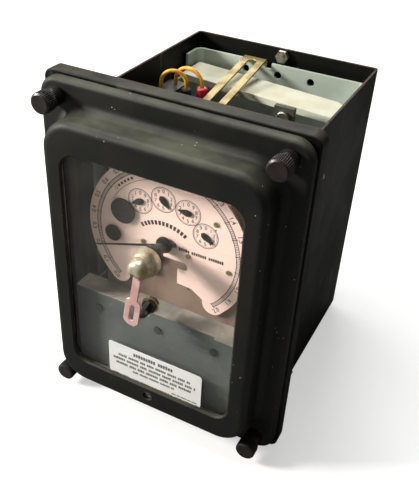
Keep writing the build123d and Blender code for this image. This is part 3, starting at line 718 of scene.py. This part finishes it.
# %% Small bevels
SAME_CORNER = 0.002
SHARP_EDGE = 40.0


def soften(name, width):
    """Join a part's split corners and round its sharp edges a little."""
    weld = node[name].modifiers.new("Join corners", "WELD")
    weld.merge_threshold = SAME_CORNER * MM
    bevel = node[name].modifiers.new("Soft edges", "BEVEL")
    bevel.width = width * MM
    bevel.segments = 2
    bevel.limit_method = "ANGLE"
    bevel.angle_limit = math.radians(SHARP_EDGE)
    bevel.harden_normals = True


BEVELS = {"case_shell": 0.35, "cross_bar": 0.6, "cradle_chassis": 0.4, "front_plate": 0.3,
          "slotted_strap": 0.25, "meter_frame": 0.6, "lead_block": 0.5, "hasp": 0.2,
          "dial_plate": 0.12, "name_plate": 0.12}
for name, width in BEVELS.items():
    soften(name, width)
print("softened", len(BEVELS), "parts")

# %% [markdown]
# ## Thumb nuts
# Each nut is a turned moulding: a smooth collar next to the rim, a coarse straight knurl for the
# fingers, and a face that is sunk a little in the middle. A lathe profile alone can't have ribs, so a
# second function lets the points of a ring dip towards the axis between them. The bore for the stud
# and the lip that keeps the nut in the cover are made as well.

# %% Knurled thumb nuts
NUT_STEPS = 204
NUT_FLUTES = 34
FLUTE_DEPTH = 0.55
nut_low, nut_high = span("thumb_nut_1")
NUT_R = (nut_high.x - nut_low.x) / 2
COLLAR_R = NUT_R - 0.75
NECK_R, LIP_R, BORE_R = 4.0, 5.6, 2.56
NUT_FRONT, NUT_BACK = nut_low.y, nut_high.y
RIM_FACE = NUT_FRONT + 16.0
LIP_FRONT = RIM_FACE + 3.7
BORE_END = NUT_FRONT + 4.0
KNURL_FRONT, KNURL_BACK = NUT_FRONT + 1.0, RIM_FACE - 8.3


def knurl(radius, y, angle):
    """Round ribs with narrow valleys, only on the outside of the knurled band."""
    if radius <= BORE_R or not KNURL_FRONT < y < KNURL_BACK:
        return radius
    return radius - FLUTE_DEPTH * (0.5 - 0.5 * math.cos(NUT_FLUTES * angle)) ** 1.5


NUT_PROFILE = [
    # the face
    (0, NUT_FRONT + 0.35), (3.2, NUT_FRONT + 0.1), (5.2, NUT_FRONT), (NUT_R - 0.9, NUT_FRONT + 0.25),
    # the knurled band
    (NUT_R - 0.3, NUT_FRONT + 0.7), (NUT_R, NUT_FRONT + 1.3), (NUT_R, BORE_END),
    (NUT_R, RIM_FACE - 9.0), (NUT_R - 0.2, RIM_FACE - 8.2),
    # the collar, down to the rim of the cover
    (COLLAR_R + 0.05, RIM_FACE - 8.0), (COLLAR_R, RIM_FACE - 7.0), (COLLAR_R, RIM_FACE - 1.4),
    (5.5, RIM_FACE - 0.5), (4.9, RIM_FACE - 0.12),
    # the neck through the rim, and the lip behind it
    (NECK_R, RIM_FACE - 0.1), (NECK_R, LIP_FRONT), (LIP_R, LIP_FRONT), (LIP_R, NUT_BACK),
    # the bore
    (BORE_R, NUT_BACK), (BORE_R, BORE_END), (0, BORE_END)]
for number in (1, 2, 3, 4):
    centre = middle(f"thumb_nut_{number}")
    shape = turned(NUT_PROFILE, centre.x, centre.z, NUT_STEPS, knurl)
    nut = finish_mesh(f"knurled_nut_{number}", as_mesh(f"knurled_nut_{number}", shape), nut_brown,
                      f"nut_{number}", 30)
    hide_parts(f"thumb_nut_{number}")
print("nuts of radius", NUT_R, "with", NUT_FLUTES, "flutes")

# %% [markdown]
# ## Reset knob
# The knob is a turned bell with a shallow groove where its skirt meets its nose. The nose is slotted
# for the hasp. Turning gives the bell, and a boolean cut with a small block gives the slot. The cut is
# applied at once, so that the knob stays one clean mesh.

# %% Bell-shaped knob
KNOB_BACK = round(span("reset_knob")[1].y, 3)
HASP_ANGLE = 8.0
SLOT_SIZE = (5.4, 10.0, 8.8)
SLOT_MIDDLE = (0, -50.2, -5.6)
KNOB_PROFILE = [(0, -16.6), (3.0, -16.45), (4.6, -15.9), (5.7, -14.9), (6.4, -13.4), (6.8, -11.6),
                (6.95, -10.2), (7.0, -9.6), (6.9, -9.35), (7.0, -9.1), (7.5, -8.7), (8.2, -7.6),
                (8.7, -6.0), (8.9, -4.0), (8.8, -2.0), (8.3, -0.6), (7.6, 0), (0, 0)]


def worked_out(piece):
    """The final mesh of an object, with its modifiers or its text worked out."""
    graph = bpy.context.evaluated_depsgraph_get()
    return bpy.data.meshes.new_from_object(piece.evaluated_get(graph))


def carve(piece, cutter):
    """Cut one object out of another for good."""
    cut = piece.modifiers.new("Cut", "BOOLEAN")
    cut.object = cutter
    mesh = worked_out(piece)
    piece.modifiers.clear()
    piece.data = mesh
    bpy.data.objects.remove(cutter)


bell = turned([(r, KNOB_BACK + y) for r, y in KNOB_PROFILE], AXIS_X, AXIS_Z, 120)
knob = finish_mesh("bell_knob", as_mesh("bell_knob", bell), worn_nickel, "reset", 35)
slot_shape = bmesh.new()
bmesh.ops.create_cube(slot_shape, size=1.0)
bmesh.ops.scale(slot_shape, vec=Vector(SLOT_SIZE) * MM, verts=slot_shape.verts)
bmesh.ops.translate(slot_shape, vec=Vector(SLOT_MIDDLE) * MM, verts=slot_shape.verts)
to_axis = Matrix.Translation(Vector((AXIS_X, 0, AXIS_Z)) * MM)
slot_shape.transform(to_axis @ Matrix.Rotation(math.radians(HASP_ANGLE), 4, "Y"))
slot_tool = bpy.data.objects.new("Slot tool", as_mesh("Slot tool", slot_shape))
bpy.context.scene.collection.objects.link(slot_tool)
carve(knob, slot_tool)
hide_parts("reset_knob")
print("knob with", len(knob.data.polygons), "faces")

# %% [markdown]
# ## Print on the dial
# The dial is printed, so its marks are very thin raised ink. The main scale is two rings with ticks
# between them. Its ends lie either side of the cut-away part of the dial, and the numbers stand
# outside the rings, turned so that they can be read from below.

# %% Printed figures
INK = 0.06
INK_GAP = 0.001
FONT_SIZE = 1.4
FONT_WEIGHT = 0.012


def figures(name, items, y, material, body):
    """Numbers from the built-in font: items are (text, x, z, height, turn in degrees).

    FONT_SIZE is the font's size over the height of a figure, and FONT_WEIGHT thickens its strokes.
    """
    joined = bmesh.new()
    for text, x, z, height, angle in items:
        curve = bpy.data.curves.new("figure", "FONT")
        curve.body, curve.size, curve.extrude = text, height * FONT_SIZE * MM, INK * MM / 2
        curve.offset = height * FONT_WEIGHT * MM
        curve.align_x, curve.align_y = "CENTER", "CENTER"
        maker = bpy.data.objects.new("figure", curve)
        bpy.context.scene.collection.objects.link(maker)
        mesh = worked_out(maker)
        bpy.data.objects.remove(maker)
        upright = Matrix.Rotation(math.radians(90), 4, "X")
        turn = Matrix.Rotation(math.radians(-angle), 4, "Y")
        mesh.transform(Matrix.Translation(Vector((x, y - INK / 2, z)) * MM) @ turn @ upright)
        joined.from_mesh(mesh)
        bpy.data.meshes.remove(mesh)
    return finish_mesh(name, as_mesh(name, joined), material, body)


def on_dial(radius, degrees, x=AXIS_X, z=AXIS_Z):
    """A point round a centre, its angle counted from the right, upwards."""
    angle = math.radians(degrees)
    return x + radius * math.cos(angle), z + radius * math.sin(angle)


def ink_slab():
    """An empty slab as thick as the ink, on the dial's face."""
    return Slab(DIAL_FRONT - INK, DIAL_FRONT - INK_GAP)


print("figures ready")

# %% Main scale
SCALE_START, SCALE_STEP, SCALE_COUNT = 226.0, 13.6, 20
RING_IN, RING_OUT, RING_WIDTH = 46.4, 48.7, 0.42
FIGURE_R, FIGURE_HEIGHT = 51.4, 2.9
LONG_TICK, SHORT_TICK = 0.55, 0.34
scale = ink_slab()
sweep = SCALE_START - SCALE_STEP * SCALE_COUNT
for radius in (RING_IN, RING_OUT):
    scale.arc(AXIS_X, AXIS_Z, radius, sweep, SCALE_START, RING_WIDTH, 140)
for i in range(SCALE_COUNT * 10 + 1):
    angle = SCALE_START - i * SCALE_STEP / 10
    whole, half = i % 10 == 0, i % 5 == 0
    inner = RING_IN - (0.7 if whole else 0)
    outer = RING_OUT + (0.9 if whole else 0.3 if half else 0)
    scale.stroke(*on_dial(inner, angle), *on_dial(outer, angle), LONG_TICK if whole else SHORT_TICK)
finish_mesh("main_scale", scale.mesh("main_scale"), ink, "cradle")
labels = []
for i in range(SCALE_COUNT + 1):
    angle = SCALE_START - i * SCALE_STEP
    below = 180 < angle or angle < 0
    labels.append((f"{i / 10:.1f}", *on_dial(FIGURE_R, angle), FIGURE_HEIGHT,
                   angle + 90 if below else angle - 90))
figures("scale_figures", labels, DIAL_FRONT, ink, "cradle")
print("scale with", len(labels), "numbers")

# %% Register dials
REGISTER_R, REGISTER_FIRST, REGISTER_STEP = 29.4, 127.0, 32.9
DIGIT_R, DIGIT_HEIGHT = 5.5, 2.4
ring_print = ink_slab()
digits = []
for i in range(4):
    x, z = on_dial(REGISTER_R, REGISTER_FIRST - REGISTER_STEP * i)
    for radius, width in ((8.1, 0.42), (7.3, 0.16)):
        ring_print.arc(x, z, radius, 0, 360, width, 72)
    for digit in range(10):
        step = 36 * digit * (1 if i % 2 == 0 else -1)
        digits.append((str(digit), *on_dial(DIGIT_R, 90 + step, x, z), DIGIT_HEIGHT, 0))
finish_mesh("register_rings", ring_print.mesh("register_rings"), ink, "cradle")
figures("register_figures", digits, DIAL_FRONT, ink, "cradle")
print("register digits", len(digits))

# %% [markdown]
# ## Lines of wording
# The real dial and notice carry wording. A reusable part doesn't, so each word is a row of small
# blocks of the same height, which keeps the weight of a line of print without any letters.

# %% Rows of blocks
LETTER_PITCH = 0.62
BLOCK_SHARE = 0.72
WORD_GAP = 0.9


def row(slab, x0, x1, z, height, word=(3, 7)):
    """A straight line of print as blocks, in groups of as many blocks as word says."""
    x = x0
    pitch = height * LETTER_PITCH
    foot = z - height / 2
    while x < x1 - pitch:
        for _ in range(random.randint(*word)):
            if x > x1 - pitch:
                break
            top = foot + height * random.uniform(0.82, 1.0)
            side = x + pitch * BLOCK_SHARE
            slab.outline([(x, foot), (side, foot), (side, top), (x, top)])
            x += pitch
        x += pitch * WORD_GAP


def arc_row(slab, radius, start, end, count, height, x, z):
    """A curved line of blocks, each filling BLOCK_SHARE of its place."""
    half = abs(math.radians(end - start)) / count * BLOCK_SHARE / 2
    top = radius + height
    for i in range(count):
        angle = math.radians(start + (end - start) * i / (count - 1))
        slab.outline([(x + r * math.cos(angle + d), z + r * math.sin(angle + d))
                      for r, d in ((radius, half), (radius, -half), (top, -half), (top, half))])


print("row helpers ready")

# %% Dial wording
UNIT_MIDDLE = (0.0, 14.2)
wording = ink_slab()
arc_row(wording, 23.6, 127, 57, 13, 2.9, *UNIT_MIDDLE)
row(wording, 10.0, 42.0, 25.4, 2.3, (3, 8))
wording.arc(AXIS_X, AXIS_Z, 41.5, 105, 152, 0.28, 30)
wording.arc(*on_dial(44.0, 141), 1.0, 0, 360, 0.25, 24)
arc_row(wording, 43.2, 137, 122, 5, 1.5, AXIS_X, AXIS_Z)
wording.dot(*on_dial(38.0, 32), 0.5)
finish_mesh("dial_wording", wording.mesh("dial_wording"), ink, "cradle")

# %% Name plate marks
plate_low, _ = span("name_plate")
marks = Slab(plate_low.y - INK, plate_low.y - INK_GAP)
for left, right, z in ((13.0, 20.5, 14.2), (11.5, 19.0, 10.6), (12.0, 20.0, 7.0)):
    row(marks, left, right, z, 1.3)
finish_mesh("name_plate_marks", marks.mesh("name_plate_marks"), grey_ink, "cradle")
print("name plate at y", round(plate_low.y, 2))

# %% [markdown]
# ## The notice
# A paper notice is stuck on the glass. Its lower edge has torn and browned, so a ragged strip of
# darker paper runs along it, and its wording is rows of blocks: a heading, four lines and a footnote.

# %% Notice print
note_low, note_high = span("notice_plate")
PAPER_FRONT = note_low.y
printed = Slab(PAPER_FRONT - INK, PAPER_FRONT - INK_GAP)
HEAD_Z, LINE_PITCH = note_high.z - 4.6, 3.7
first_line = HEAD_Z - 4.6
centre_x = (note_low.x + note_high.x) / 2
row(printed, centre_x - 15.5, centre_x + 15.5, HEAD_Z, 3.0, (9, 9))
for i, (half, height) in enumerate([(27, 2.1), (31, 2.1), (29, 2.1), (16, 1.7)]):
    row(printed, centre_x - half, centre_x + half, first_line - i * LINE_PITCH, height)
row(printed, note_high.x - 21, note_high.x - 2.5, note_low.z + 2.4, 1.0)
finish_mesh("notice_print", printed.mesh("notice_print"), grey_ink, "cover")
print("notice from", tuple(round(v, 1) for v in note_low), "to", tuple(round(v, 1) for v in note_high))

# %% Torn edge
TEAR_STEPS, TEAR_INSET, TEAR_THICKNESS = 60, 1.2, 0.12
torn = Slab(PAPER_FRONT - TEAR_THICKNESS, PAPER_FRONT - INK_GAP)
tear_length = note_high.x - note_low.x - 2 * TEAR_INSET
upper, lower = [], []
for i in range(TEAR_STEPS + 1):
    x = note_low.x + TEAR_INSET + tear_length * i / TEAR_STEPS
    upper.append((x, note_low.z + random.uniform(0.35, 1.15)))
    lower.append((x, note_low.z + random.uniform(0.02, 0.3)))
torn.outline(upper + list(reversed(lower)))
finish_mesh("notice_torn_edge", torn.mesh("notice_torn_edge"), paper_torn, "cover")
print("torn edge", round(tear_length, 1), "mm long")

# %% [markdown]
# ## Camera and light
# The camera stands to the right of the object and above it. Its place and turn are given in the
# object's own frame. The main light is a small soft source on the left, which gives clear shadows.
# A second one stands over the open top of the case, and weak ones behind and in front. The floor and
# the backdrop are pale only to the camera, so they throw little light back on the dark object.

# %% Camera
RIGHT = Vector((0.88829, 0.45665, 0.04902))
DOWN = Vector((0.29532, -0.48619, -0.82244))
FORWARD = Vector((-0.35174, 0.74504, -0.56674))
CAMERA_PLACE = (169.35, -312.20, 263.94)
LENS = 52.235
camera_data = bpy.data.cameras.new("Camera")
camera = bpy.data.objects.new("Camera", camera_data)
bpy.context.scene.collection.objects.link(camera)
turn = Matrix((RIGHT, -DOWN, -FORWARD)).transposed().to_4x4()
camera.matrix_world = Matrix.Translation(Vector(CAMERA_PLACE) * MM) @ turn
camera_data.sensor_width = 36.0
camera_data.lens = LENS
camera_data.clip_start = 0.01
bpy.context.scene.camera = camera
print("lens", round(camera_data.lens, 2), "mm")

# %% Lights
def soft_light(name, place, aim, size, power, colour=(1, 1, 1)):
    """A square area light that looks at a point; lengths in metres, power in watts."""
    data = bpy.data.lights.new(name, "AREA")
    data.shape, data.size, data.energy, data.color = "SQUARE", size, power, colour
    light = bpy.data.objects.new(name, data)
    light.location = place
    light.rotation_euler = (Vector(aim) - Vector(place)).to_track_quat("-Z", "Y").to_euler()
    bpy.context.scene.collection.objects.link(light)


soft_light("Key", (-1.2, -0.64, 0.62), (0, 0, 0), 0.3, 38, (1.0, 0.97, 0.93))
soft_light("Over the top", (-0.25, 0.15, 1.0), (0, 0.08, 0.05), 0.6, 11)
soft_light("Behind", (-0.5, 1.3, 0.7), (0, 0.1, 0), 0.6, 5)
soft_light("Front fill", (-0.1, -1.2, 0.4), (0, 0, 0), 0.6, 0.4)
print("lights:", [light.name for light in bpy.data.lights])

# %% Backdrop
def pale_to_the_camera(tree, seen, unseen, surface):
    """Show one shader to the camera, and let another one light the object."""
    rays = add(tree, "ShaderNodeLightPath")
    either = add(tree, "ShaderNodeMixShader")
    tree.links.new(rays.outputs["Is Camera Ray"], either.inputs[0])
    tree.links.new(unseen.outputs[0], either.inputs[1])
    tree.links.new(seen.outputs[0], either.inputs[2])
    tree.links.new(either.outputs[0], surface)


world = bpy.data.worlds.new("Studio")
bpy.context.scene.world = world
world.use_nodes = True
sky = world.node_tree
room = sky.nodes["Background"]
room.inputs["Color"].default_value = (1.0, 0.99, 0.92, 1)
room.inputs["Strength"].default_value = 0.17
backdrop = add(sky, "ShaderNodeBackground")
backdrop.inputs["Color"].default_value = (1, 1, 1, 1)
backdrop.inputs["Strength"].default_value = 0.92
pale_to_the_camera(sky, backdrop, room, sky.nodes["World Output"].inputs["Surface"])
print("world:", world.name)

# %% Floor
FLOOR_SIZE = 4.0
FLOOR_Z = cad_low.z - 0.0002


def build_floor():
    """Pale to look at, but it throws back little light, as black cards around an object do."""
    made = finish("Studio floor", tone(205, 205, 204), 0.8,
                  [coat_of("Blotches", tone(200, 200, 199), 0.85, Scale=2.0)])
    tree = made.node_tree
    shown = tree.nodes["Principled BSDF"]
    shown.inputs["Emission Color"].default_value = (1, 1, 1, 1)
    shown.inputs["Emission Strength"].default_value = 0.5
    dim = add(tree, "ShaderNodeBsdfDiffuse")
    dim.inputs["Color"].default_value = tone(120, 120, 118)
    pale_to_the_camera(tree, shown, dim, tree.nodes["Material Output"].inputs["Surface"])
    return made


floor_shape = bmesh.new()
bmesh.ops.create_grid(floor_shape, x_segments=1, y_segments=1, size=FLOOR_SIZE)
floor_mesh = as_mesh("Floor", floor_shape)
floor_mesh.materials.append(build_floor())
floor = bpy.data.objects.new("Floor", floor_mesh)
floor.location.z = FLOOR_Z
bpy.context.scene.collection.objects.link(floor)
bpy.context.scene.view_settings.view_transform = "Standard"
print("floor at", round(FLOOR_Z, 4))
